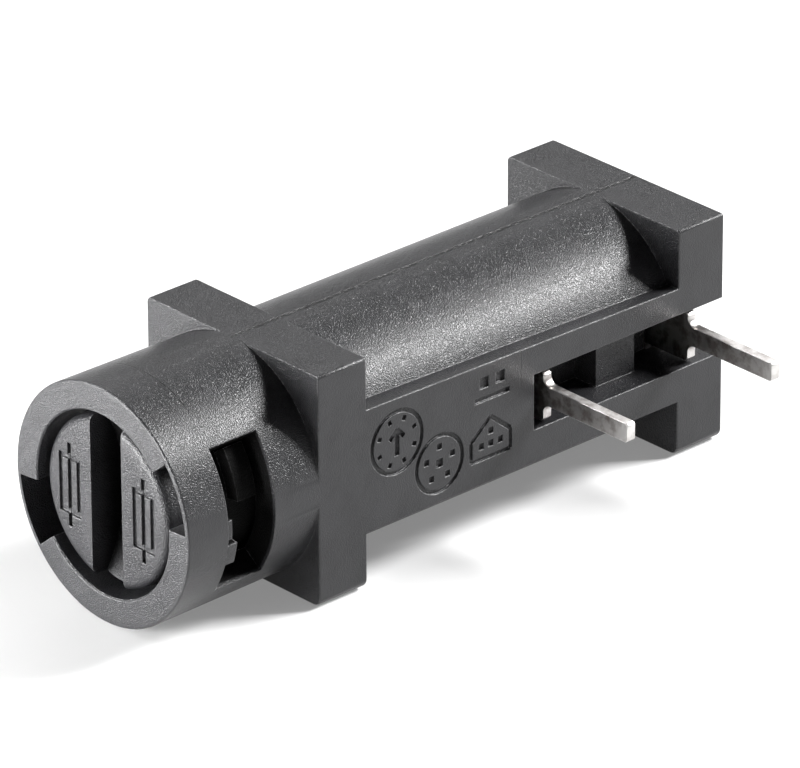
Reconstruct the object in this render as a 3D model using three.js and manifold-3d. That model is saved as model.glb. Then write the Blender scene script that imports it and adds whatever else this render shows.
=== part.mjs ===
// Bayonet fuse holder for a circuit board, with a 5 x 20 mm cartridge fuse in its carrier.
// Millimetres. The holder lies on its side: the fuse axis runs along +Y from the collar's
// front face, the solder pins point along +X. Origin: centre of the front flange's foot.

import * as THREE from 'three';
import { mergeVertices } from 'three/addons/utils/BufferGeometryUtils.js';
import Module from 'manifold-3d';

const wasm = await Module();
wasm.setup();

// Housing
const flangeSide = 12.7;
const flangeThick = 3.2;
const flangeCorner = 0.3;
const frontFlangeY = 8.6;
const rearFlangeY = 33.3;
const holderLength = rearFlangeY + flangeThick;
const collarFrontR = 6.45;
const collarRearR = 6.36;
const collarChamfer = 0.12;
const footTopFront = 3.5;
const footTopRear = 3.1;
const footBottom = -3.3;

// Bayonet ring, entry notches and locking windows
const ringBoreR = 4.92;
const headChamberEnd = 7.4;
const notchStart = 5;
const notchEnd = 39.5;
const notchR = 6.2;
const windowY = [2.6, 5.7];
const windowAngles = [-34.5, 38.5];
const bumpAngles = [-5, 4.4];
const bumpY = 2.94;
const tabAngles = [-19, -8];
const tabY = 3.3;

// Fuse bore and terminal recess
const boreR = 3.55;
const boreStepY = 18;
const rearBoreR = 2.8;
const boreEnd = 34;
const recessZ = [-1.46, 1.64];
const recessY = 23.18;
const recessFloorX = 3.35;
const padY = [28.9, 31.6];
const padTopX = 4.9;

// Terminals
const pinPitch = 10.16;
const stripThick = 0.55;
const frontPinY = 23.95;
const rearPinY = frontPinY + pinPitch;
const pinZ = [-0.32, 0.74];
const pinTipX = 12.3;
const tipChamfer = 0.18;
const shoulderX = 6.25;
const shoulderFillet = 0.35;
const bladeZ = [-1.3, 1.5];
const armThick = 0.35;
const armX = 3.45;
const armHalfWidth = 1;
const armContactX = 2.99;
const armContactY = 14.2;
const armEndY = 13;
const plateX = -2.6;
const plateHalfWidth = 2.1;
const slotClearance = 0.25;

// Cap
const capFaceY = 0.3;
const capR = 4.55;
const capFillet = 0.5;
const headEndY = 7;
const skirtR = 3.35;
const skirtBoreR = 3.05;
const skirtEndY = 12.2;
const cavityFloorY = 4.4;
const slotWidth = 2.3;
const slotFloorR = 8.3;
const slotDeepestY = 2.5;
const earAngles = [7.25, 37.25];
const earR = 5.35;
const earY = [4.2, 5.4];

// Contact ferrule, springs and rear contact
const ferruleR = 2.92;
const ferruleBoreR = 2.72;
const ferruleY = [9.8, 16.8];
const ferruleFloor = 0.3;
const ferruleSlit = 0.5;
const ferruleSlitY = 12;
const capSpringY = [4.7, 9.5];
const capSpringR = 2.25;
const capSpringTurns = 6;
const rearSpringY = [31.55, 33.75];
const rearSpringR = 1.6;
const rearSpringTurns = 3;
const springWireR = 0.19;
const buttonY = 30.7;
const buttonR = 2.2;
const buttonThick = 0.55;
const buttonStemR = 1.1;
const buttonStemY = 32.1;

// 5 x 20 mm fuse
const fuseY = 10.4;
const fuseLength = 20;
const fuseCapR = 2.6;
const fuseCapLength = 5.2;
const fuseCapWall = 0.18;
const glassR = 2.36;
const glassBoreR = 1.9;
const glassInset = 0.4;
const solderR = 0.9;
const solderThick = 0.55;
const wireR = 0.12;

const roundSegments = 64;
const smallSegments = 32;
const half = flangeSide / 2;
const rad = THREE.MathUtils.degToRad;

// ---- shape helpers ----

const unitX = new THREE.Vector3(1, 0, 0);
const unitY = new THREE.Vector3(0, 1, 0);
const unitZ = new THREE.Vector3(0, 0, 1);

function extrude(shape, depth, segments = 8) {
  return new THREE.ExtrudeGeometry(shape, {
    depth, bevelEnabled: false, curveSegments: segments });
}

// Outline in (y, z), standing from x0 to x1.
function alongX(shape, x0, x1, segments) {
  const basis = new THREE.Matrix4().makeBasis(unitY, unitZ, unitX);
  return extrude(shape, x1 - x0, segments).applyMatrix4(basis).translate(x0, 0, 0);
}

// Outline in (x, z), standing from y0 to y1.
function alongY(shape, y0, y1, segments) {
  const basis = new THREE.Matrix4().makeBasis(unitX, unitZ, unitY.clone().negate());
  return extrude(shape, y1 - y0, segments).applyMatrix4(basis).translate(0, y1, 0);
}

// Outline in (x, y), standing from z0 to z1.
function alongZ(shape, z0, z1, segments) {
  return extrude(shape, z1 - z0, segments).translate(0, 0, z0);
}

function box(x0, x1, y0, y1, z0, z1) {
  const size = [x1 - x0, y1 - y0, z1 - z0];
  const middle = [(x0 + x1) / 2, (y0 + y1) / 2, (z0 + z1) / 2];
  return new THREE.BoxGeometry(...size).translate(...middle);
}

// Profile of (radius, y) points turned about the fuse axis.
function turned(points, segments = roundSegments) {
  return new THREE.LatheGeometry(points.map(([r, y]) => new THREE.Vector2(r, y)), segments);
}

function rod(radius, y0, y1, segments = roundSegments) {
  return turned([[0, y0], [radius, y0], [radius, y1], [0, y1]], segments);
}

function tube(inner, outer, y0, y1, segments = smallSegments) {
  const profile = [[inner, y0], [outer, y0], [outer, y1], [inner, y1], [inner, y0]];
  return turned(profile, segments);
}

function polygon(points) {
  return new THREE.Shape(points.map(([a, b]) => new THREE.Vector2(a, b)));
}

// Square in the plane, with rounded corners.
function roundedSquare(side, corner) {
  const h = side / 2;
  const c = h - corner;
  const shape = new THREE.Shape();
  shape.moveTo(h, -c);
  shape.lineTo(h, c);
  shape.absarc(c, c, corner, 0, rad(90));
  shape.lineTo(-c, h);
  shape.absarc(-c, c, corner, rad(90), rad(180));
  shape.lineTo(-h, -c);
  shape.absarc(-c, -c, corner, rad(180), rad(270));
  shape.lineTo(c, -h);
  shape.absarc(c, -c, corner, rad(270), rad(360));
  return shape;
}

// Part of a ring between two angles, counted from +X towards +Z.
function sector(inner, outer, [start, end], [y0, y1]) {
  const shape = new THREE.Shape();
  shape.absarc(0, 0, outer, rad(start), rad(end), false);
  shape.absarc(0, 0, inner, rad(end), rad(start), true);
  return alongY(shape, y0, y1, 12);
}

// The same sector and its twin across the fuse axis.
function sectorPair(inner, outer, angles, ys) {
  const opposite = angles.map((angle) => angle + 180);
  return [sector(inner, outer, angles, ys), sector(inner, outer, opposite, ys)];
}

// ---- booleans ----

function toSolid(geometry) {
  const bare = geometry.clone();
  bare.deleteAttribute('normal');
  bare.deleteAttribute('uv');
  const merged = mergeVertices(bare, 1e-5);
  return new wasm.Manifold(new wasm.Mesh({
    numProp: 3,
    vertProperties: new Float32Array(merged.attributes.position.array),
    triVerts: new Uint32Array(merged.index.array),
  }));
}

function toGeometry(solid) {
  const mesh = solid.getMesh();
  const geometry = new THREE.BufferGeometry();
  const positions = new THREE.BufferAttribute(mesh.vertProperties, 3);
  geometry.setAttribute('position', positions);
  geometry.setIndex(new THREE.BufferAttribute(mesh.triVerts, 1));
  geometry.computeVertexNormals();
  return geometry;
}

function join(geometries) {
  return geometries.map(toSolid).reduce((whole, next) => whole.add(next));
}

function cut(solid, geometries) {
  return geometries.map(toSolid).reduce((whole, next) => whole.subtract(next), solid);
}

// ---- housing ----

function makeHousing() {
  const collar = turned([
    [0, 0],
    [collarFrontR - collarChamfer, 0],
    [collarFrontR, collarChamfer],
    [collarRearR, frontFlangeY + 0.5],
    [0, frontFlangeY + 0.5],
  ]);
  const plate = roundedSquare(flangeSide, flangeCorner);
  const frontFlange = alongY(plate, frontFlangeY, frontFlangeY + flangeThick, 3);
  const rearFlange = alongY(plate, rearFlangeY, holderLength, 3);
  const barrel = rod(half, frontFlangeY + 1, rearFlangeY + 1);
  const footFrontY = frontFlangeY + flangeThick - 0.5;
  const foot = alongX(polygon([
    [footFrontY, footBottom],
    [rearFlangeY + 0.5, footBottom],
    [rearFlangeY + 0.5, footTopRear],
    [footFrontY, footTopFront],
  ]), 0, half);
  const outside = join([collar, frontFlange, rearFlange, barrel, foot]);

  const past = 1;
  const bores = cut(outside, [
    rod(ringBoreR, -past, headChamberEnd),
    rod(boreR, headChamberEnd - past, boreStepY),
    rod(rearBoreR, boreStepY - past, boreEnd),
    ...sectorPair(ringBoreR - 0.5, notchR, [notchStart, notchEnd], [-past, windowY[0] + 0.1]),
    ...sectorPair(ringBoreR - 0.5, collarFrontR + past, windowAngles, windowY),
  ]);

  // Lugs on the windows' front edge, which the ears ride over.
  const lugR = [ringBoreR + 0.1, collarRearR - 0.06];
  const lugs = [
    ...sectorPair(...lugR, bumpAngles, [windowY[0] - 0.2, bumpY]),
    ...sectorPair(...lugR, tabAngles, [windowY[0] - 0.2, tabY]),
  ];
  const withLugs = lugs.map(toSolid).reduce((whole, next) => whole.add(next), bores);

  const [zLow, zHigh] = recessZ;
  const gap = slotClearance;
  const armGroove = armX + armThick + gap;
  const frontSlotEnd = frontPinY + stripThick + gap;
  const plateSlot = [rearPinY - gap, rearPinY + stripThick + gap];
  const behind = cut(withLugs, [
    box(recessFloorX, half + past, recessY, padY[0], zLow, zHigh),
    box(padTopX, half + past, padY[0] - 0.1, padY[1] + 0.1, zLow, zHigh),
    box(recessFloorX, half + past, padY[1], holderLength + past, zLow, zHigh),
    box(rearBoreR - past, recessFloorX + 0.1, frontPinY - gap, frontSlotEnd, zLow, zHigh),
    box(0, armGroove, armEndY - 0.3, frontSlotEnd,
      -armHalfWidth - gap, armHalfWidth + gap),
    box(plateX - gap, recessFloorX + 0.1, ...plateSlot,
      -plateHalfWidth - gap, plateHalfWidth + gap),
  ]);
  return toGeometry(behind);
}

// ---- terminals ----

// Blade with its pin, as an outline in (x, z): shoulders, fillets and a chamfered tip.
function bladeOutline(startX, [zLow, zHigh]) {
  const [pinLow, pinHigh] = pinZ;
  const f = shoulderFillet;
  const shape = new THREE.Shape();
  shape.moveTo(startX, zLow);
  shape.lineTo(shoulderX, zLow);
  shape.lineTo(shoulderX, pinLow - f);
  shape.quadraticCurveTo(shoulderX, pinLow, shoulderX + f, pinLow);
  shape.lineTo(pinTipX - tipChamfer, pinLow);
  shape.lineTo(pinTipX, pinLow + tipChamfer);
  shape.lineTo(pinTipX, pinHigh - tipChamfer);
  shape.lineTo(pinTipX - tipChamfer, pinHigh);
  shape.lineTo(shoulderX + f, pinHigh);
  shape.quadraticCurveTo(shoulderX, pinHigh, shoulderX, pinHigh + f);
  shape.lineTo(shoulderX, zHigh);
  shape.lineTo(startX, zHigh);
  return shape;
}

function makeFrontTerminal() {
  const bladeEnd = frontPinY + stripThick;
  const blade = alongY(bladeOutline(armX, bladeZ), frontPinY, bladeEnd, 4);
  const outer = armX + armThick;
  const arm = alongZ(polygon([
    [armX, bladeEnd],
    [armX, armContactY + 2],
    [armContactX, armContactY + 0.3],
    [armContactX, armContactY - 0.3],
    [armX - 0.05, armEndY],
    [armX + 0.25, armEndY],
    [armContactX + armThick, armContactY - 0.15],
    [armContactX + armThick, armContactY + 0.15],
    [outer, armContactY + 1.9],
    [outer, bladeEnd],
  ]), -armHalfWidth, armHalfWidth);
  return toGeometry(join([blade, arm]));
}

function makeRearTerminal() {
  const y1 = rearPinY + stripThick;
  const blade = alongY(bladeOutline(rearBoreR, bladeZ), rearPinY, y1, 4);
  const plateEnd = recessFloorX - slotClearance;
  const c = 0.6;
  const w = plateHalfWidth;
  const plate = alongY(polygon([
    [plateX + c, -w], [plateEnd, -w], [plateEnd, w], [plateX + c, w],
    [plateX, w - c], [plateX, c - w],
  ]), rearPinY, y1);
  return toGeometry(join([blade, plate]));
}

// ---- springs ----

class Helix extends THREE.Curve {
  constructor(radius, [y0, y1], turns) {
    super();
    Object.assign(this, { radius, y0, y1, turns });
  }

  getPoint(t, target = new THREE.Vector3()) {
    const angle = t * this.turns * Math.PI * 2;
    const y = THREE.MathUtils.lerp(this.y0, this.y1, t);
    return target.set(this.radius * Math.cos(angle), y, this.radius * Math.sin(angle));
  }
}

function makeSpring(radius, ys, turns) {
  const section = new THREE.Shape().absarc(0, 0, springWireR, 0, rad(360));
  const path = new Helix(radius, ys, turns);
  const steps = turns * 14;
  return new THREE.ExtrudeGeometry(section, {
    steps, curveSegments: 6, extrudePath: path, bevelEnabled: false });
}

// ---- cap ----

function makeCap() {
  const f = capFillet;
  const k = f * (1 - Math.SQRT1_2);
  const body = turned([
    [0, capFaceY],
    [capR - f, capFaceY],
    [capR - k, capFaceY + k],
    [capR, capFaceY + f],
    [capR, headEndY],
    [skirtR, headEndY],
    [skirtR, skirtEndY],
    [skirtBoreR, skirtEndY],
    [skirtBoreR, cavityFloorY],
    [0, cavityFloorY],
  ]);
  const ears = sectorPair(capR - 0.5, earR, earAngles, earY);
  const slotDisc = new THREE.Shape();
  slotDisc.absarc(slotDeepestY - slotFloorR, 0, slotFloorR, 0, rad(360));
  const slot = alongX(slotDisc, -slotWidth / 2, slotWidth / 2, 48);
  return toGeometry(cut(join([body, ...ears]), [slot]));
}

// ---- contact ferrule and rear contact ----

function makeFerrule() {
  const [y0, y1] = ferruleY;
  const cup = turned([
    [0, y0],
    [ferruleR, y0],
    [ferruleR, y1],
    [ferruleBoreR, y1],
    [ferruleBoreR, y0 + ferruleFloor],
    [0, y0 + ferruleFloor],
  ], smallSegments);
  const s = ferruleSlit / 2;
  const reach = ferruleR + 1;
  return toGeometry(cut(toSolid(cup), [
    box(-s, s, ferruleSlitY, y1 + 1, -reach, reach),
    box(-reach, -1, ferruleSlitY, y1 + 1, -s, s),
  ]));
}

function makeButton() {
  const y1 = buttonY + buttonThick;
  const dome = 0.35;
  return turned([
    [0, buttonY],
    [buttonR - 2 * dome, buttonY],
    [buttonR, buttonY + dome],
    [buttonR, y1],
    [buttonStemR, y1],
    [buttonStemR, buttonStemY],
    [0, buttonStemY],
  ], smallSegments);
}

// ---- fuse ----

// Cup-shaped end cap with its floor at floorY and its mouth at mouthY.
function makeEndCap(floorY, mouthY) {
  const inward = Math.sign(mouthY - floorY);
  const floor = floorY + inward * fuseCapWall;
  const profile = [
    [0, floorY],
    [fuseCapR, floorY],
    [fuseCapR, mouthY],
    [fuseCapR - fuseCapWall, mouthY],
    [fuseCapR - fuseCapWall, floor],
    [0, floor],
  ];
  return turned(inward > 0 ? profile : profile.reverse(), smallSegments);
}

const fuseEnd = fuseY + fuseLength;
const glassY = [fuseY + glassInset, fuseEnd - glassInset];
const beadFront = [fuseY + fuseCapWall + 0.1, fuseY + fuseCapWall + 0.1 + solderThick];
const beadRear = beadFront.map((y) => fuseY + fuseEnd - y).reverse();

// ---- materials ----

function material(color, roughness, metalness) {
  return new THREE.MeshStandardMaterial({ color, roughness, metalness });
}

const materials = {
  housing: material(0x1d1d1f, 0.6, 0),
  cap: material(0x242427, 0.6, 0),
  tin: material(0xc9c6c0, 0.35, 1),
  spring: material(0x9a9a98, 0.3, 1),
  nickel: material(0xd2d0ca, 0.25, 1),
  glass: material(0xdfe6e4, 0.05, 0),
  solder: material(0xaeb0b2, 0.45, 1),
};

// ---- assembly ----

const holder = new THREE.Group();
holder.position.set(-half, -(frontFlangeY + flangeThick / 2), 0);

function place(name, geometry, slot) {
  const mesh = new THREE.Mesh(geometry, materials[slot]);
  mesh.name = name;
  holder.add(mesh);
}

place('housing', makeHousing(), 'housing');
place('front_terminal', makeFrontTerminal(), 'tin');
place('rear_terminal', makeRearTerminal(), 'tin');
place('rear_contact_button', makeButton(), 'nickel');
place('rear_contact_spring', makeSpring(rearSpringR, rearSpringY, rearSpringTurns), 'spring');
place('cap', makeCap(), 'cap');
place('cap_spring', makeSpring(capSpringR, capSpringY, capSpringTurns), 'spring');
place('contact_ferrule', makeFerrule(), 'nickel');
place('fuse_glass_tube', tube(glassBoreR, glassR, ...glassY), 'glass');
place('fuse_end_cap_front', makeEndCap(fuseY, fuseY + fuseCapLength), 'nickel');
place('fuse_end_cap_rear', makeEndCap(fuseEnd, fuseEnd - fuseCapLength), 'nickel');
place('fuse_wire', rod(wireR, beadFront[1] + 0.1, beadRear[0] - 0.1, 8), 'solder');
place('solder_bead_front', rod(solderR, ...beadFront, 16), 'solder');
place('solder_bead_rear', rod(solderR, ...beadRear, 16), 'solder');

const assembly = new THREE.Group();
assembly.add(holder);

export default assembly;
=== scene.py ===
# Bayonet fuse holder for a circuit board, lying on its side.
# Lengths in the dictionaries are millimetres: y along the fuse axis from the collar's front face,
# x towards the board, z up.

from math import atan2, cos, hypot, pi, radians, sin, tan

import bpy
from mathutils import Matrix, Vector


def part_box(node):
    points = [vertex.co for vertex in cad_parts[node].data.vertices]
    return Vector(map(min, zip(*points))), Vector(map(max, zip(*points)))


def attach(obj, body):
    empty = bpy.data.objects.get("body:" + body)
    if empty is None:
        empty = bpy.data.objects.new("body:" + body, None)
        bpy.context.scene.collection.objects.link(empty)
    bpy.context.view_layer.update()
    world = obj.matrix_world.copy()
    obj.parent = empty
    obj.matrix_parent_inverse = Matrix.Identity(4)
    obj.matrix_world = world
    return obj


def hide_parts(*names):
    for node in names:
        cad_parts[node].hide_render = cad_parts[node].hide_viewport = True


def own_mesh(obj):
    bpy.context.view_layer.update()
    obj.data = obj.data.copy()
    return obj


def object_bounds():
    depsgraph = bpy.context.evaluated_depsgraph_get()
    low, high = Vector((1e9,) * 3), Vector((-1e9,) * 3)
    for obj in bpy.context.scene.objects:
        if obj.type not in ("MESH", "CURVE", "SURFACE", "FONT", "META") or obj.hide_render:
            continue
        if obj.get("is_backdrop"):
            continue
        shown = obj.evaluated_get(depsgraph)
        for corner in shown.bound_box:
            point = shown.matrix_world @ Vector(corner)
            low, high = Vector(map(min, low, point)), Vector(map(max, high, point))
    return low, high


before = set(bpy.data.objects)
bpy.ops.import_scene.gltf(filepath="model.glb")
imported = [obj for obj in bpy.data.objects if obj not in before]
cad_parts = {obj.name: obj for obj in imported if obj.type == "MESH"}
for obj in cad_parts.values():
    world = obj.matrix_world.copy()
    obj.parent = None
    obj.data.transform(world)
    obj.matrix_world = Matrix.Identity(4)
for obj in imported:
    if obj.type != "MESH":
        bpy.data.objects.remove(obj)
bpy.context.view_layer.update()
print("frame loaded")

mm = 0.001
housingLow = Vector(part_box("housing")[0])
glassLow, glassHigh = (Vector(corner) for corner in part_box("fuse_glass_tube"))
axisStart = Vector(((glassLow.x + glassHigh.x) / 2, housingLow.y, (glassLow.z + glassHigh.z) / 2))


def at(x, y, z):
    # millimetres from the middle of the collar's front face, y along the fuse axis
    return axisStart + Vector((x, y, z)) * mm


# a long lens, in front of the part and to its right
cameraSetup = {
    "azimuth": 47.412,
    "elevation": 25.95,
    "roll": -0.255,
    "distance": 422.0,
    "lens": 376.57,
    "target": (0.0, 19.538, 0.254),
    "shift": (0.006485, -0.00366),
}


def placeCamera(setup):
    a, e, r = (radians(setup[k]) for k in ("azimuth", "elevation", "roll"))
    back = Vector((sin(a) * cos(e), -cos(a) * cos(e), sin(e)))
    level = Vector((cos(a), sin(a), 0.0))
    upright = back.cross(level)
    right = level * cos(r) + upright * sin(r)
    up = upright * cos(r) - level * sin(r)
    bpy.ops.object.camera_add(location=at(*setup["target"]) + back * setup["distance"] * mm)
    camera = bpy.context.object
    camera.name = "studioCamera"
    camera.rotation_euler = Matrix((right, up, back)).transposed().to_euler()
    camera.data.lens = setup["lens"]
    camera.data.shift_x, camera.data.shift_y = setup["shift"]
    camera.data.clip_start = 0.01
    bpy.context.scene.camera = camera


placeCamera(cameraSetup)
print("camera placed")


class Wire:
    # one socket of a material, with arithmetic
    def __init__(self, shader, socket):
        self.shader = shader
        self.socket = socket

    def do(self, operation, *values):
        settings = {"operation": operation}
        return self.shader.node("ShaderNodeMath", settings, dict(enumerate(values)))

    def __add__(self, other):
        return self.do("ADD", self, other)

    def __radd__(self, other):
        return self.do("ADD", other, self)

    def __sub__(self, other):
        return self.do("SUBTRACT", self, other)

    def __rsub__(self, other):
        return self.do("SUBTRACT", other, self)

    def __mul__(self, other):
        return self.do("MULTIPLY", self, other)

    def __rmul__(self, other):
        return self.do("MULTIPLY", other, self)

    def __abs__(self):
        return self.do("ABSOLUTE", self)

    def most(self, other):
        return self.do("MAXIMUM", self, other)

    def ramp(self, low, high):
        # 0 below low, 1 above high, smooth between; low may be the larger
        settings = {"interpolation_type": "SMOOTHSTEP", "clamp": True}
        if low > high:
            return 1 - self.ramp(high, low)
        inputs = {"Value": self, "From Min": low, "From Max": high}
        return self.shader.node("ShaderNodeMapRange", settings, inputs)


class Shader:
    # one material and its nodes
    def __init__(self, name):
        self.material = bpy.data.materials.new(name)
        self.material.use_nodes = True
        self.tree = self.material.node_tree
        self.surface = self.tree.nodes["Principled BSDF"]

    def node(self, kind, settings=None, inputs=None, output=0):
        made = self.tree.nodes.new(kind)
        for key, value in (settings or {}).items():
            setattr(made, key, value)
        for key, value in (inputs or {}).items():
            self.feed(made.inputs[key], value)
        return Wire(self, made.outputs[output])

    def feed(self, socket, value):
        if isinstance(value, Wire):
            self.tree.links.new(value.socket, socket)
        else:
            socket.default_value = value

    def place(self):
        # Object coordinates in millimetres from the middle of the collar's front face
        coords = self.node("ShaderNodeTexCoord", output="Object")
        shifted = self.node("ShaderNodeVectorMath", {"operation": "SUBTRACT"},
                            {0: coords, 1: axisStart})
        return self.node("ShaderNodeVectorMath", {"operation": "SCALE"},
                         {0: shifted, "Scale": 1 / mm})

    def parts(self, vector):
        # the x, y and z of a vector
        first = self.node("ShaderNodeSeparateXYZ", {}, {0: vector})
        return [Wire(self, out) for out in first.socket.node.outputs]

    def noise(self, vector, scale, detail=2.0, roughness=0.5, stretch=None):
        if stretch:
            vector = self.node("ShaderNodeVectorMath", {"operation": "MULTIPLY"},
                               {0: vector, 1: stretch})
        return self.node("ShaderNodeTexNoise", {}, {
            "Vector": vector, "Scale": scale, "Detail": detail, "Roughness": roughness})

    def mix(self, factor, first, second):
        # from the first colour to the second; a Mix node's colours are its sockets 6 and 7
        first, second = (c if isinstance(c, Wire) else (*c, 1.0) for c in (first, second))
        inputs = {"Factor": factor, 6: first, 7: second}
        return self.node("ShaderNodeMix", {"data_type": "RGBA"}, inputs, output=2)

    def corners(self, radius):
        # the normal rounded over every edge, and how far it turns from the flat one
        rounded = self.node("ShaderNodeBevel", {"samples": 4}, {"Radius": radius * mm})
        flat = self.node("ShaderNodeNewGeometry", output="Normal")
        aligned = self.node("ShaderNodeVectorMath", {"operation": "DOT_PRODUCT"},
                            {0: rounded, 1: flat}, output="Value")
        return rounded, flat, 1 - aligned

    def bump(self, height, distance, strength=1.0, under=None):
        inputs = {"Height": height, "Distance": distance * mm, "Strength": strength}
        if under is not None:
            inputs["Normal"] = under
        return self.node("ShaderNodeBump", {}, inputs)

    def set(self, **sockets):
        for name, value in sockets.items():
            self.feed(self.surface.inputs[name.replace("_", " ")], value)
        return self.material


plasticLook = {
    "color": (0.015, 0.015, 0.0165),
    "lightColor": (0.034, 0.034, 0.037),
    # this dark colour paints the shade inside the collar and on the cap's sides, and also colours the
    # seam lines
    "shadeAndSeamColor": (0.003, 0.003, 0.003),
    "shadeDuller": 0.35,
    "shadeFrom": 1.4,
    "shadeOver": 1.4,
    "slotHalf": 1.2,
    "cloudShare": 0.35,
    "grainShare": 0.6,
    "grainPerMm": 15.0,
    "fineGrainPerMm": 26.0,
    "patchPerMm": 4.0,
    "cloudPerMm": 0.55,
    "specksPerMm": 5.5,
    "grainDepth": 0.021,
    "footSmoother": 0.6,
    "roughness": 0.31,
    "specular": 0.43,
    "edgeRoundRadius": 0.09,
    # light grey for the painted edge highlight and the scuffs
    "wearAndHighlightColor": (0.50, 0.50, 0.51),
}

seams = {
    "halfWidth": 0.08,
    "wander": 0.18,
    "topZ": (5.9, 6.1),
    "fromY": (8.4, 8.6),
    "arcY": 2.72,
    "arcZ": (5.35, 5.5),
    "uprightX": (6.2, 6.3),
    "uprightY": 22.25,
    "uprightZ": (1.3, 3.3),
}


def partingLine(shader, size, p, x, y, z):
    # where the mould halves met, over the flanges and the barrel: a ragged dark line
    ragged = shader.noise(p, 3.1, 3.0, 0.7)
    across = abs(x + (ragged - 0.5) * size["wander"])
    top = z.ramp(*size["topZ"]) * y.ramp(*size["fromY"])
    return across.ramp(size["halfWidth"] * 1.6, size["halfWidth"]) * top


def witnessLines(size, x, y, z):
    # steps left by the slides: an arc over the collar, an upright on the foot beside the recess
    arc = abs(y - size["arcY"]).ramp(0.05, 0.02) * z.ramp(*size["arcZ"])
    low, high = size["uprightZ"]
    tall = z.ramp(low, low + 0.05) * z.ramp(high, high - 0.05)
    upright = abs(y - size["uprightY"]).ramp(0.045, 0.02) * x.ramp(*size["uprightX"]) * tall
    return arc.most(upright)


def mouldedPlastic(name, look, marks=None):
    # black glass-filled thermoplastic from a spark-eroded mould; marks are the seams of the housing
    shader = Shader(name)
    p = shader.place()
    x, y, z = shader.parts(p)
    coarse = shader.noise(p, look["grainPerMm"], 0.0, 0.5)
    fine = shader.noise(p, look["fineGrainPerMm"], 1.0, 0.5)
    patch = shader.noise(p, look["patchPerMm"], 2.0, 0.6)
    cloud = shader.noise(p, look["cloudPerMm"], 3.0, 0.55)
    specks = shader.noise(p, look["specksPerMm"], 2.0, 0.7).ramp(0.46, 0.60)
    pits = coarse.ramp(0.32, 0.68) * 0.7 + fine * 0.3
    depth = patch * 0.9 + 0.55
    rounded, _, turned = shader.corners(look["edgeRoundRadius"])
    # painted highlight on the rounded edges that face up, over real scuffs on every edge, broken into
    # specks
    upward = shader.parts(rounded)[2].ramp(0.30, 0.60)
    scuffAndHighlight = turned.ramp(0.004, 0.09) * (upward * 0.8 + 0.12) * (specks * 0.8 + 0.2)
    grey = cloud.ramp(0.3, 0.75) * look["cloudShare"] + coarse.ramp(0.66, 0.82) * look["grainShare"]
    color = shader.mix(grey, look["color"], look["lightColor"])
    if marks:
        # painted shade: the inside of the collar is painted darker and made duller, and the foot's
        # side has less grain
        paintedShade = (x * x + z * z).ramp(39.2, 37.8) * y.ramp(2.3, 2.7) * y.ramp(8.2, 7.8)
        depth = depth * (1 - x.ramp(6.28, 6.33) * look["footSmoother"])
    else:
        # painted shade on the cap's sides too, sooner inside its slot
        inSlot = abs(x).ramp(look["slotHalf"] + 0.1, look["slotHalf"])
        paintedShade = (y + inSlot * 0.7).ramp(look["shadeFrom"], look["shadeFrom"] + look["shadeOver"])
    color = shader.mix(paintedShade, color, look["shadeAndSeamColor"])
    color = shader.mix(scuffAndHighlight * 0.9, color, look["wearAndHighlightColor"])
    height = (pits - 0.5) * depth
    if marks:
        line = partingLine(shader, marks, p, x, y, z)
        witness = witnessLines(marks, x, y, z)
        color = shader.mix(line.most(witness * 0.7) * 0.9, color, look["shadeAndSeamColor"])
        color = shader.mix(line * specks.ramp(0.85, 1.0) * 0.25, color, look["wearAndHighlightColor"])
        height = height - line * (specks + 1.2) - witness * 1.2
    roughness = look["roughness"] + (fine - 0.5) * 0.18 + (cloud - 0.5) * 0.10 + scuffAndHighlight * 0.08
    roughness = roughness + paintedShade * look["shadeDuller"]
    normal = shader.bump(height, look["grainDepth"], 1.0, rounded)
    # the painted shade is also made mostly metallic, so that it takes almost no diffuse light
    return shader.set(Base_Color=color, Roughness=roughness, Metallic=paintedShade * 0.8,
                      Normal=normal, Specular_IOR_Level=look["specular"])


tinLook = {
    "color": (0.56, 0.54, 0.53),
    "stain": (0.20, 0.165, 0.15),
    "brightColor": (0.86, 0.85, 0.83),
    "roughness": 0.34,
    "edgeRadius": 0.07,
    "tipX": (10.9, 12.1),
    "wipeStretch": (5.0, 3.0, 1.2),
    "wipeDepth": 0.010,
}


def tinnedStrip(name, look):
    # hot-tinned strip: wipe marks, brown stains, brighter corners and tip, sheared edges a little so
    shader = Shader(name)
    p = shader.place()
    x = shader.parts(p)[0]
    wipe = shader.noise(p, 1.0, 3.0, 0.5, stretch=look["wipeStretch"])
    blot = shader.noise(p, 1.4, 3.0, 0.6)
    fine = shader.noise(p, 14.0, 2.0, 0.5)
    rounded, flat, turned = shader.corners(look["edgeRadius"])
    sheared = abs(shader.parts(flat)[1]).ramp(0.75, 0.4)
    tip = (x + (blot - 0.5) * 0.8).ramp(*look["tipX"]) * 0.6
    bright = turned.ramp(0.005, 0.08).most(sheared * 0.25).most(tip)
    color = shader.mix(blot.ramp(0.42, 0.66) * 0.8, look["color"], look["stain"])
    color = shader.mix(wipe.ramp(0.45, 0.75) * 0.16 + bright * 0.75, color, look["brightColor"])
    roughness = look["roughness"] + (wipe - 0.5) * 0.20 + blot * 0.08
    normal = shader.bump(wipe * 0.6 + fine * 0.4, look["wipeDepth"], 0.5, rounded)
    return shader.set(Base_Color=color, Roughness=roughness, Metallic=1.0, Normal=normal)


def platedMetal(name, color, roughness, depth=0.006):
    # a satin metal with faint blots
    shader = Shader(name)
    p = shader.place()
    fine = shader.noise(p, 9.0, 3.0, 0.6)
    blot = shader.noise(p, 0.9, 3.0, 0.6)
    tint = shader.mix(blot.ramp(0.35, 0.75) * 0.5, color, tuple(0.72 * c for c in color))
    rough = roughness + (fine - 0.5) * 0.16 + (blot - 0.5) * 0.12
    return shader.set(Base_Color=tint, Roughness=rough, Metallic=1.0,
                      Normal=shader.bump(fine, depth, 0.6))


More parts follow.
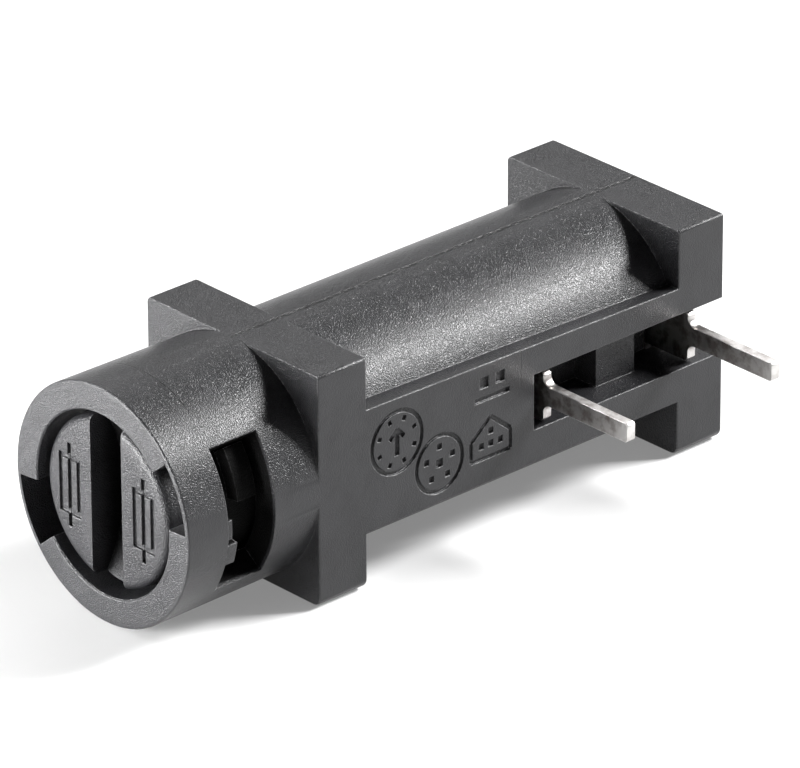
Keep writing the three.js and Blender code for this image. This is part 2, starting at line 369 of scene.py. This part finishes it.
def clearGlass(name):
    # drawn tube, faintly streaked along its length
    shader = Shader(name)
    p = shader.place()
    streak = shader.noise(p, 1.2, 3.0, 0.5, stretch=(1.0, 0.15, 1.0))
    color = shader.mix(streak.ramp(0.4, 0.8) * 0.4, (0.97, 0.99, 0.98), (0.90, 0.95, 0.93))
    return shader.set(Base_Color=color, Roughness=streak * 0.05 + 0.01,
                      Transmission_Weight=1.0, IOR=1.5,
                      Normal=shader.bump(streak, 0.01, 0.3))


housingPlastic = mouldedPlastic("housing_plastic", plasticLook, seams)
capPlastic = mouldedPlastic("cap_plastic", plasticLook)
tinFinish = tinnedStrip("tinned_terminal", tinLook)
springFinish = platedMetal("spring_wire", (0.52, 0.52, 0.51), 0.28)
contactFinish = platedMetal("nickel_contact", (0.72, 0.69, 0.63), 0.24)
solderFinish = platedMetal("dull_solder", (0.55, 0.55, 0.57), 0.45, depth=0.012)
glassFinish = clearGlass("fuse_glass")
print("finishes made")


def deselectAll():
    if bpy.context.object and bpy.context.object.mode != "OBJECT":
        bpy.ops.object.mode_set(mode="OBJECT")
    bpy.ops.object.select_all(action="DESELECT")


def settle(piece):
    # place, turn and size go into the mesh
    piece.select_set(True)
    bpy.context.view_layer.objects.active = piece
    bpy.ops.object.transform_apply(location=True, rotation=True, scale=True)


def edit(piece):
    deselectAll()
    piece.select_set(True)
    bpy.context.view_layer.objects.active = piece
    bpy.ops.object.mode_set(mode="EDIT")
    bpy.ops.mesh.select_mode(type="EDGE")   # by vertex, edges between two chosen rims are chosen too
    bpy.ops.mesh.select_all(action="SELECT")


def closeUp():
    # everything merged, with its faces turned outwards
    bpy.ops.mesh.select_all(action="SELECT")
    bpy.ops.mesh.remove_doubles(threshold=1e-7)
    bpy.ops.mesh.normals_make_consistent(inside=False)
    bpy.ops.object.mode_set(mode="OBJECT")


def rounded(profile):
    # (radius, y, fillet) points with each filleted corner turned into short chords
    steps = 4
    points = []
    last = len(profile) - 1
    for i, (r, y, *fillet) in enumerate(profile):
        if not fillet or i in (0, last):
            points.append((r, y))
            continue
        here = Vector((r, y))
        before = (Vector(profile[i - 1][:2]) - here).normalized()
        after = (Vector(profile[i + 1][:2]) - here).normalized()
        reach = fillet[0] / tan(before.angle(after) / 2)
        start, end = here + before * reach, here + after * reach
        centre = here + (before + after).normalized() * hypot(fillet[0], reach)
        a0 = atan2(start.y - centre.y, start.x - centre.x)
        a1 = atan2(end.y - centre.y, end.x - centre.x)
        sweep = (a1 - a0 + pi) % (2 * pi) - pi
        for k in range(steps + 1):
            a = a0 + sweep * k / steps
            points.append((centre.x + fillet[0] * cos(a), centre.y + fillet[0] * sin(a)))
    return points


def turnPiece(name, profile, segments=128):
    # a disc drawn out along the fuse axis, resized at each step of the profile
    (r, y), *steps = rounded(profile)
    deselectAll()
    bpy.ops.mesh.primitive_circle_add(vertices=segments, radius=r * mm, fill_type="NGON",
                                      location=at(0, y, 0), rotation=(radians(90), 0, 0))
    piece = bpy.context.object
    piece.name = name
    settle(piece)
    edit(piece)
    for newR, newY in steps:
        bpy.ops.mesh.extrude_region_move(
            TRANSFORM_OT_translate={"value": (0, (newY - y) * mm, 0)})
        grow = newR / r
        bpy.ops.transform.resize(value=(grow, 1, grow), center_override=at(0, newY, 0))
        r, y = newR, newY
    closeUp()
    return piece


def block(name, low, high):
    # a tool for a rectangular cut, from corner to corner
    low, high = at(*low), at(*high)
    deselectAll()
    bpy.ops.mesh.primitive_cube_add(size=1, location=(low + high) / 2)
    piece = bpy.context.object
    piece.name = name
    piece.scale = high - low
    settle(piece)
    return piece


def sector(name, radii, angles, ys):
    # part of a ring, angles counted from +X towards +Z
    (r0, r1), (a0, a1), (y0, y1) = radii, angles, ys
    a, r = radians(a0), (r0 + r1) / 2
    deselectAll()
    bpy.ops.mesh.primitive_plane_add(
        size=1, location=at(r * cos(a), (y0 + y1) / 2, r * sin(a)), rotation=(0, -a, 0))
    piece = bpy.context.object
    piece.name = name
    piece.scale = ((r1 - r0) * mm, (y1 - y0) * mm, 1)
    settle(piece)
    edit(piece)
    bpy.ops.mesh.spin(steps=24, angle=radians(a1 - a0), center=axisStart, axis=(0, 1, 0))
    closeUp()
    return piece


def plate(name, outline, draw, edge=0.0):
    # an outline of points drawn out into a plate with softened edges
    deselectAll()
    bpy.ops.mesh.primitive_circle_add(vertices=len(outline), radius=mm, fill_type="NGON",
                                      location=axisStart)
    piece = bpy.context.object
    piece.name = name
    settle(piece)
    for vertex, point in zip(piece.data.vertices, outline):
        vertex.co = point
    edit(piece)
    bpy.ops.mesh.extrude_region_move(TRANSFORM_OT_translate={"value": Vector(draw) * mm})
    closeUp()
    if edge:
        edit(piece)
        bpy.ops.mesh.select_all(action="DESELECT")
        bpy.ops.object.mode_set(mode="OBJECT")
        selectSharp(piece)
        bpy.ops.object.mode_set(mode="EDIT")
        bpy.ops.mesh.bevel(offset=edge * mm, segments=2, affect="EDGES")
        closeUp()
    return piece


def selectSharp(piece):
    # edges whose two faces meet at more than the limit
    limit = radians(50)
    mesh = piece.data
    sides = {}
    for face in mesh.polygons:
        for key in face.edge_keys:
            sides.setdefault(key, []).append(face.normal)
    for edge in mesh.edges:
        normals = sides.get(edge.key, [])
        edge.select = len(normals) == 2 and normals[0].angle(normals[1], 0) > limit


def combine(piece, tools, operation="DIFFERENCE"):
    # each tool cuts the piece or joins it, and is then thrown away
    for tool in tools:
        deselectAll()
        bpy.context.view_layer.objects.active = piece
        bpy.ops.object.modifier_add(type="BOOLEAN")
        change = piece.modifiers[-1]
        change.operation = operation
        change.solver = "EXACT"
        change.object = tool
        bpy.ops.object.modifier_apply(modifier=change.name)
        bpy.data.objects.remove(tool, do_unlink=True)
    return piece


def finish(piece, material, node, body, smooth=32):
    deselectAll()
    piece.select_set(True)
    bpy.context.view_layer.objects.active = piece
    bpy.ops.object.shade_smooth_by_angle(angle=radians(smooth))
    bpy.ops.object.modifier_add(type="WEIGHTED_NORMAL")   # flat faces stay flat beside fine bevels
    piece.modifiers[-1].keep_sharp = True
    bpy.ops.object.modifier_apply(modifier=piece.modifiers[-1].name)
    piece.data.materials.clear()
    piece.data.materials.append(material)
    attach(piece, body)
    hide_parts(node)
    print(piece.name, "made,", len(piece.data.polygons), "faces")
    return piece


# one moulding: collar, two flanges, barrel and foot
housing = {
    "half": 6.35,
    "frontFlange": (8.6, 11.8),
    "rearFlange": (33.3, 36.5),
    "collarFrontR": 6.45,
    "collarRearR": 6.36,
    "rimRound": 0.10,
    "flangeRound": 0.10,
    "footRound": 0.05,
    "skin": 0.001,
    "cornerRight": 0.18,
    "cornerLeft": 0.28,
    "cornerLow": 0.50,
    "railRound": 0.45,
    "footZ": (-3.3, 3.1, 3.5),
    "ringBoreR": 4.92,
    "chamberEnd": 7.4,
    "notchR": 6.2,
    "notchAngles": (5, 39.5),
    "notchEnd": 2.7,
    "windowAngles": (-34.5, 38.5),
    "windowY": (2.6, 5.7),
    "lugFrom": 2.4,
    "lugs": (((-5, 4.4), 2.94), ((-19, -8), 3.3)),
    "boreR": 3.55,
    "boreStep": 18.0,
    "rearBoreR": 2.8,
    "boreEnd": 34.0,
    "boreTaper": 0.6,
    "recessFrom": 23.18,
    "recessZ": (-1.46, 1.64),
    "recessFloor": 3.35,
    "padY": (28.9, 31.6),
    "padTop": 4.9,
    "frontSlotX": 1.8,
    "frontSlotY": (23.7, 24.75),
    "rearSlotX": -2.85,
    "rearSlotY": (33.86, 34.91),
    "rearSlotZ": 2.35,
    "leafGrooveFrom": 12.7,
    "leafGrooveX": 4.05,
    "leafGrooveZ": 1.25,
}

# sunk marks on the foot's side, each placed by its middle, y then z
footMark = {
    "depth": 0.13,
    "stroke": 0.24,
    "dateDial": (13.83, 1.07),
    "dateDialR": 1.68,
    "tickR": (1.12, 1.40),
    "arrowZ": (-0.77, 0.55, 0.68),
    "barbs": (0.48, 0.18),
    "cavityDial": (16.7, -1.09),
    "cavityDialR": 1.55,
    "cavityDotR": 0.92,
    "gable": ((18.85, -1.85), (21.55, -1.85), (21.55, -0.75), (20.2, 0.35), (18.85, -0.75)),
    "gableDots": ((19.55, -1.15), (20.2, -1.15), (20.85, -1.15), (20.2, -0.45)),
    "longBar": ((19.1, 1.45), (21.5, 1.45)),
    "squares": ((19.75, 2.35), (20.85, 2.35)),
}


def makeFlange(size, ys):
    # a square plate whose corners are rounded more below and to the left than at the top right
    half, y0 = size["half"], ys[0]
    corners = [(half, half, size["cornerRight"]), (-half, half, size["cornerLeft"]),
               (-half, -half, size["cornerLow"]), (half, -half, size["cornerLow"])]
    steps = 5
    outline = []
    for cx, cz, r in corners:
        inward = (half - r) / half
        first = atan2(cz, cx) - pi / 4
        for k in range(steps + 1):
            a = first + pi / 2 * k / steps
            outline.append(at(cx * inward + r * cos(a), y0, cz * inward + r * sin(a)))
    return plate("flange", outline, (0, ys[1] - y0, 0), size["flangeRound"])


def pairOf(name, radii, angles, ys):
    # a sector and its twin across the fuse axis
    opposite = tuple(angle + 180 for angle in angles)
    return [sector(name, radii, angles, ys), sector(name, radii, opposite, ys)]


def footMarks(size, face):
    # plain moulder's marks: two dials, a gable outline and two squares
    depth, w = size["depth"], size["stroke"]
    marks = []

    def bar(y0, z0, y1, z1, width=w):
        along = Vector((y1 - y0, z1 - z0)).normalized() * width / 2
        side = Vector((-along.y, along.x))
        corners = [(y0 + side.x, z0 + side.y), (y0 - side.x, z0 - side.y),
                   (y1 - side.x, z1 - side.y), (y1 + side.x, z1 + side.y)]
        outline = [at(face - depth, cy, cz) for cy, cz in corners]
        marks.append(plate("mark", outline, (depth + 0.3, 0, 0)))

    def disc(y, z, radius, thick, x):
        deselectAll()
        bpy.ops.mesh.primitive_cylinder_add(vertices=64, radius=radius * mm, depth=thick * mm,
                                            location=at(x, y, z), rotation=(0, radians(90), 0))
        piece = bpy.context.object
        settle(piece)
        return piece

    def ring(y, z, radius):
        outer = disc(y, z, radius + w / 2, depth + 0.3, face - depth + (depth + 0.3) / 2)
        core = disc(y, z, radius - w / 2, 2, face)
        marks.append(combine(outer, [core]))

    def dot(y, z, wide):
        bar(y - wide / 2, z, y + wide / 2, z, wide)

    # date dial: an arrow and eight ticks round it
    y, z = size["dateDial"]
    foot, top, point = size["arrowZ"]
    wide, low = size["barbs"]
    ring(y, z, size["dateDialR"])
    bar(y, z + foot, y, z + top, 0.34)
    bar(y - wide, z + low, y, z + point, 0.26)
    bar(y + wide, z + low, y, z + point, 0.26)
    inner, outer = size["tickR"]
    for k in range(8):
        a = radians(22.5 + 45 * k)
        bar(y + inner * cos(a), z + inner * sin(a), y + outer * cos(a), z + outer * sin(a))
    # cavity dial: a middle dot with five round it
    y, z = size["cavityDial"]
    ring(y, z, size["cavityDialR"])
    dot(y, z, 0.46)
    for k in range(5):
        a = radians(90 + 72 * k)
        dot(y + size["cavityDotR"] * cos(a), z + size["cavityDotR"] * sin(a), 0.34)
    # five-sided outline with dots
    gable = size["gable"]
    for start, end in zip(gable, gable[1:] + gable[:1]):
        bar(*start, *end)
    for y, z in size["gableDots"]:
        dot(y, z, 0.36)
    # two squares over a long bar
    start, end = size["longBar"]
    bar(*start, *end, 0.3)
    for y, z in size["squares"]:
        dot(y, z, 0.62)
    return marks


def makeHousing(size, marks):
    half, front, rear = size["half"], size["frontFlange"], size["rearFlange"]
    barrelR = half - size["skin"]   # just inside the flanges' sides, so that no two faces coincide
    body = turnPiece("housing_moulding", [
        (size["collarFrontR"] - 0.4, 0),
        (size["collarFrontR"], 0, size["rimRound"]),
        (size["collarRearR"], front[0] + 0.6),
        (barrelR, front[0] + 0.7),
        (barrelR, rear[0] + 0.6),
    ], 192)
    low, highRear, highFront = size["footZ"]
    inFront, behind = front[1] - 0.5, rear[0] + 0.5
    foot = plate("foot", [at(0, inFront, low), at(0, behind, low), at(0, behind, highRear),
                          at(0, inFront, highFront)], (half, 0, 0), size["footRound"])
    flanges = [makeFlange(size, ys) for ys in (front, rear)]
    combine(body, [*flanges, foot], "UNION")

    bore, step = size["ringBoreR"], size["boreStep"]
    combine(body, [
        turnPiece("bore", [(bore + 0.08, -0.5), (bore + 0.08, -0.001), (bore, 0.08),
                           (bore, size["chamberEnd"])], 160),
        turnPiece("bore", [(size["boreR"], size["chamberEnd"] - 1), (size["boreR"], step),
                           (size["rearBoreR"], step + size["boreTaper"]),
                           (size["rearBoreR"], size["boreEnd"])]),
        *pairOf("notch", (bore - 0.5, size["notchR"]), size["notchAngles"], (-0.5, size["notchEnd"])),
        *pairOf("window", (bore - 0.5, 7.4), size["windowAngles"], size["windowY"]),
    ])
    lugR = (bore + 0.1, size["collarRearR"] - 0.05)
    lugs = [pairOf("lug", lugR, angles, (size["lugFrom"], end)) for angles, end in size["lugs"]]
    combine(body, [lug for pair in lugs for lug in pair], "UNION")

    z0, z1 = size["recessZ"]
    floor, out = size["recessFloor"], half + 1
    pad0, pad1 = size["padY"]
    railR, end = size["railRound"], rear[1]
    mouth = [(pad1, z0), *((end - railR + railR * sin(a), z0 - railR + railR * cos(a))
                           for a in (radians(90 * k / 5) for k in range(6))),
             (end + 1, z0 - railR), (end + 1, z1), (pad1, z1)]
    (f0, f1), (r0, r1) = size["frontSlotY"], size["rearSlotY"]
    rearZ, leafZ = size["rearSlotZ"], size["leafGrooveZ"]
    combine(body, [
        block("recess", (floor, size["recessFrom"], z0), (out, pad0, z1)),
        block("recess", (size["padTop"], pad0 - 0.1, z0), (out, pad1 + 0.1, z1)),
        plate("recess", [at(floor, ry, rz) for ry, rz in mouth], (out - floor, 0, 0)),
        block("slot", (size["frontSlotX"], f0, z0), (floor + 0.1, f1, z1)),
        block("groove", (0, size["leafGrooveFrom"], -leafZ), (size["leafGrooveX"], f1, leafZ)),
        block("slot", (size["rearSlotX"], r0, -rearZ), (floor + 0.1, r1, rearZ)),
    ])
    combine(body, footMarks(marks, half))
    return finish(body, housingPlastic, "housing", "holder")


makeHousing(housing, footMark)


# the slotted bayonet cap, with its skirt and two ears
cap = {
    "face": 0.3,
    "radius": 4.55,
    "rim": 0.42,
    "headEnd": 7.0,
    "skirtR": 3.35,
    "skirtBoreR": 3.05,
    "skirtEnd": 12.2,
    "cavity": 4.4,
    "slotWidth": 2.3,
    "slotFloorR": 8.3,
    "slotDeepest": 2.5,
    "earAngles": (7.25, 37.25),
    "earR": 5.35,
    "earY": (4.2, 5.4),
    "markDepth": 0.16,
    "markWidth": 0.28,
    "wireDeeper": 0.03,
    "signX": 2.75,
    "signHalf": (1.50, 0.66),
    "signWire": 2.3,
}


def capMark(size, side):
    # an engraved fuse sign: a long box with the wire running through it
    face, depth, w = size["face"], size["markDepth"], size["markWidth"]
    halfLong, halfWide = size["signHalf"]
    x = side * size["signX"]

    def slab(wide, tall, deep):
        return block("sign", (x - wide, face - 0.4, -tall), (x + wide, face + deep, tall))

    outer = slab(halfWide + w / 2, halfLong + w / 2, depth)
    inside = block("sign", (x - halfWide + w / 2, face - 1, w / 2 - halfLong),
                   (x + halfWide - w / 2, face + 1, halfLong - w / 2))
    combine(outer, [inside])
    return combine(outer, [slab(w / 2, size["signWire"], depth + size["wireDeeper"])], "UNION")


def makeCap(size):
    face, radius = size["face"], size["radius"]
    body = turnPiece("cap_moulding", [
        (radius - 1.2, face),
        (radius, face, size["rim"]),
        (radius, size["headEnd"], 0.1),
        (size["skirtR"], size["headEnd"]),
        (size["skirtR"], size["skirtEnd"], 0.08),
        (size["skirtBoreR"], size["skirtEnd"], 0.05),
        (size["skirtBoreR"], size["cavity"]),
    ], 144)
    combine(body, pairOf("ear", (radius - 0.5, size["earR"]), size["earAngles"], size["earY"]),
            "UNION")
    deselectAll()
    bpy.ops.mesh.primitive_cylinder_add(
        vertices=256, radius=size["slotFloorR"] * mm, depth=size["slotWidth"] * mm,
        location=at(0, size["slotDeepest"] - size["slotFloorR"], 0), rotation=(0, radians(90), 0))
    slot = bpy.context.object
    settle(slot)
    combine(body, [slot])
    for side in (-1, 1):
        combine(body, [capMark(size, side)])
    return finish(body, capPlastic, "cap", "bayonet_cap")


makeCap(cap)


# two blades that end in solder pins, one with a leaf spring and one with a contact plate
terminal = {
    "thick": 0.55,
    "frontY": 23.95,
    "rearY": 34.11,
    "pinZ": (-0.32, 0.74),
    "bladeZ": (-1.3, 1.5),
    "tipX": 12.3,
    "tipChamfer": 0.16,
    "shoulderX": 6.25,
    "shoulderRound": 0.45,
    "edge": 0.05,
    "leafX": (3.45, 3.8),
    "leafBend": ((3.45, 16.2), (2.99, 14.5), (2.99, 13.9), (3.4, 13.0),
                 (3.7, 13.0), (3.34, 14.05), (3.34, 14.35), (3.8, 16.1)),
    "leafHalf": 1.0,
    "leafEdge": 0.04,
    "rearStartX": 2.8,
    "contactX": (-2.6, 3.1),
    "contactHalf": 2.1,
    "contactChamfer": 0.6,
}


def bladeOutline(size, startX, y):
    (z0, z1), (p0, p1) = size["bladeZ"], size["pinZ"]
    s, f, tip, c = (size[k] for k in ("shoulderX", "shoulderRound", "tipX", "tipChamfer"))
    points = [(startX, z0), (s - 0.2, z0), (s, z0 + 0.2)]
    points += [(s + f * (1 - cos(a)), p0 - f * (1 - sin(a))) for a in
               (radians(90 * k / 8) for k in range(9))]
    points += [(tip - c, p0), (tip, p0 + c * 0.7), (tip, p1 - c * 0.7), (tip - c, p1)]
    points += [(s + f * (1 - cos(a)), p1 + f * (1 - sin(a))) for a in
               (radians(90 * k / 8) for k in range(8, -1, -1))]
    points += [(s, z1 - 0.2), (s - 0.2, z1), (startX, z1)]
    return [at(px, y, pz) for px, pz in points]


def makeFrontTerminal(size):
    y, t = size["frontY"], size["thick"]
    inner, outer = size["leafX"]
    wide = size["leafHalf"]
    blade = plate("front_pin_strip", bladeOutline(size, inner, y), (0, t, 0), size["edge"])
    root = y + t - 0.01   # just inside the blade
    arm = [(inner, root), *size["leafBend"], (outer, root)]
    leaf = plate("leaf", [at(px, py, -wide) for px, py in arm], (0, 0, 2 * wide), size["leafEdge"])
    combine(blade, [leaf], "UNION")
    return finish(blade, tinFinish, "front_terminal", "holder")


def makeRearTerminal(size):
    y, t = size["rearY"], size["thick"]
    strip = plate("rear_pin_strip", bladeOutline(size, size["rearStartX"], y), (0, t, 0), size["edge"])
    x0, x1 = size["contactX"]
    w, c = size["contactHalf"], size["contactChamfer"]
    outline = [(x0 + c, -w), (x1, -w), (x1, w), (x0 + c, w), (x0, w - c), (x0, c - w)]
    contact = plate("contact", [at(px, y + 0.01, pz) for px, pz in outline],
                    (0, t - 0.02, 0), size["edge"])
    combine(strip, [contact], "UNION")
    return finish(strip, tinFinish, "rear_terminal", "holder")


makeFrontTerminal(terminal)
makeRearTerminal(terminal)


# the sleeve inside the cap, the rear button, and their springs
contact = {
    "ferruleR": 2.92,
    "ferruleBoreR": 2.72,
    "ferruleY": (9.8, 16.8),
    "slit": 0.5,
    "slitY": 12.0,
    "buttonY": 30.7,
    "buttonR": 2.2,
    "stemR": 1.1,
    "stemEnd": 32.1,
    "capCoil": (2.25, (4.7, 9.5), 6),
    "rearCoil": (1.6, (31.55, 33.75), 3),
    "coilWireR": 0.19,
    "coilKeep": 0.60,   # the share of its length that the rear coil keeps when pressed
}


def makeFerrule(size):
    y0, y1 = size["ferruleY"]
    body = turnPiece("contact_sleeve", [
        (1.5, y0),
        (size["ferruleR"], y0, 0.15),
        (size["ferruleR"], y1, 0.05),
        (size["ferruleBoreR"], y1, 0.04),
        (size["ferruleBoreR"], y0 + 0.3),
    ], 96)
    s, reach = size["slit"] / 2, 4
    combine(body, [
        block("slit", (-s, size["slitY"], -reach), (s, y1 + 1, reach)),
        block("slit", (-reach, size["slitY"], -s), (-1, y1 + 1, s)),
    ])
    return finish(body, contactFinish, "contact_ferrule", "fuse_carrier")


def makeButton(size):
    y, r = size["buttonY"], size["buttonR"]
    body = turnPiece("contact_button", [
        (r - 1.2, y),
        (r - 0.55, y, 0.3),
        (r, y + 0.3, 0.12),
        (r, y + 0.55, 0.05),
        (size["stemR"], y + 0.55),
        (size["stemR"], size["stemEnd"], 0.2),
        (0.3, size["stemEnd"]),
    ], 96)
    return finish(body, contactFinish, "rear_contact_button", "rear_contact")


def makeCoil(name, size, shape):
    # a wire section swept round and along the fuse axis; the shape is its radius, ys and turns
    radius, (y0, y1), turns = shape
    deselectAll()
    bpy.ops.mesh.primitive_circle_add(vertices=12, radius=size["coilWireR"] * mm, fill_type="NGON",
                                      location=at(radius, y0, 0))
    piece = bpy.context.object
    piece.name = name
    settle(piece)
    steps = 40
    edit(piece)
    for step in range(turns * steps):
        bpy.ops.mesh.extrude_region_move(
            TRANSFORM_OT_translate={"value": (0, (y1 - y0) / (turns * steps) * mm, 0)})
        bpy.ops.transform.rotate(value=2 * pi / steps, orient_axis="Y", center_override=axisStart)
    closeUp()
    return piece


def makeSprings(size):
    front = makeCoil("cap_coil", size, size["capCoil"])
    finish(front, springFinish, "cap_spring", "fuse_carrier", 60)
    rear = makeCoil("rear_coil", size, size["rearCoil"])
    finish(rear, springFinish, "rear_contact_spring", "holder", 60)
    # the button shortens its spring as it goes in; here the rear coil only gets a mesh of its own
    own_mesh(rear)


makeFerrule(contact)
makeButton(contact)
makeSprings(contact)


# a 5 x 20 glass fuse
fuse = {
    "y": (10.4, 30.4),
    "capR": 2.6,
    "capLength": 5.2,
    "capWall": 0.18,
    "glassR": 2.36,
    "glassBoreR": 1.9,
    "glassInset": 0.4,
    "beadFrom": 0.1,
    "beadTo": 0.65,
    "beadR": (0.9, 0.8),
    "wireR": 0.12,
}


def makeFuse(size):
    y0, y1 = size["y"]
    r, wall = size["capR"], size["capWall"]
    for name, node, start, way in (("fuse_cup_front", "fuse_end_cap_front", y0, 1),
                                   ("fuse_cup_rear", "fuse_end_cap_rear", y1, -1)):
        mouth = start + way * size["capLength"]
        cup = turnPiece(name, [
            (1.0, start),
            (r, start, 0.22),
            (r, mouth, 0.05),
            (r - wall, mouth, 0.04),
            (r - wall, start + way * wall),
        ], 96)
        finish(cup, contactFinish, node, "fuse_carrier")
    inset = size["glassInset"]
    tube = turnPiece("fuse_tube", [(size["glassR"] - 0.2, y0 + inset),
                                   (size["glassR"], y0 + inset, 0.08),
                                   (size["glassR"], y1 - inset, 0.08),
                                   (size["glassR"] - 0.2, y1 - inset)], 96)
    inside = turnPiece("hollow", [(size["glassBoreR"], y0), (size["glassBoreR"], y1)], 96)
    combine(tube, [inside])
    finish(tube, glassFinish, "fuse_glass_tube", "fuse_carrier")
    beadY = (y0 + wall + size["beadFrom"], y0 + wall + size["beadTo"])
    wide, narrow = size["beadR"]
    for name, node, (b0, b1) in (
            ("bead_front", "solder_bead_front", beadY),
            ("bead_rear", "solder_bead_rear", tuple(y0 + y1 - b for b in reversed(beadY)))):
        bead = turnPiece(name, [(0.4, b0), (wide, b0, 0.15), (narrow, b1, 0.25), (0.2, b1)], 32)
        finish(bead, solderFinish, node, "fuse_carrier", 60)
    r = size["wireR"]
    start, end = beadY[1] + 0.1, y0 + y1 - beadY[1] - 0.1
    wire = turnPiece("fuse_strand", [(r / 2, start), (r, start + 0.02),
                                     (r, end - 0.02), (r / 2, end)], 16)
    finish(wire, solderFinish, "fuse_wire", "fuse_carrier", 60)


makeFuse(fuse)


# the paper's width and its gap below the part are metres
studio = {
    "paper": ((0.62, 0.62, 0.62), (0.59, 0.59, 0.59)),
    "paperGlow": 0.38,
    "paperWidth": 6.0,
    "paperGap": 0.00002,
    "worldLight": 0.02,
}

# direction, distance and size in metres, watts, and the y of the fuse axis that it faces
lamps = {
    "keySoftbox": ((0.34, 0.74, 0.58), 0.6, (0.20, 0.16), 9.0, 18),
    "frontSoftbox": ((-0.36, -0.93, 0.02), 0.062, (0.04, 0.03), 0.21, 0),
    "edgeSoftbox": ((-0.66, -0.44, 0.61), 0.5, (0.10, 0.10), 0.9, 18),
    "backLeftSoftbox": ((-0.66, 0.55, 0.50), 0.5, (0.30, 0.20), 0.5, 18),
}


def makeFloor(look):
    deselectAll()
    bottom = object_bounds()[0][2] - look["paperGap"]
    bpy.ops.mesh.primitive_plane_add(size=look["paperWidth"],
                                     location=(axisStart.x, axisStart.y, bottom))
    floor = bpy.context.object
    floor.name = "studioFloor"
    settle(floor)
    shader = Shader("floor_paper")
    p = shader.place()
    tone = shader.noise(p, 0.02, 3.0, 0.5)
    color = shader.mix(tone * 0.3, *look["paper"])
    # back-lit paper: a little light of its own keeps the shadow soft
    floor.data.materials.append(shader.set(Base_Color=color, Roughness=0.9 + tone * 0.05,
                                           Emission_Color=color,
                                           Emission_Strength=look["paperGlow"]))
    floor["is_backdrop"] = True


def softbox(name, direction, distance, size, power, aimY):
    # an area light facing a point of the fuse axis
    aim = at(0, aimY, 0)
    away = Vector(direction).normalized()
    deselectAll()
    bpy.ops.object.light_add(type="AREA", location=aim + away * distance)
    lamp = bpy.context.object
    lamp.name = name
    lamp.rotation_euler = away.to_track_quat("Z", "Y").to_euler()
    lamp.data.shape = "RECTANGLE"
    lamp.data.size, lamp.data.size_y = size
    lamp.data.energy = power
    lamp.visible_camera = False


def softWorld(look):
    world = bpy.data.worlds.new("studioWorld")
    bpy.context.scene.world = world
    world.use_nodes = True
    background = world.node_tree.nodes["Background"]
    background.inputs["Color"].default_value = (1, 1, 1, 1)
    background.inputs["Strength"].default_value = look["worldLight"]


makeFloor(studio)
for name, lamp in lamps.items():
    softbox(name, *lamp)
softWorld(studio)
bpy.context.scene.view_settings.view_transform = "Standard"
print("stage set")
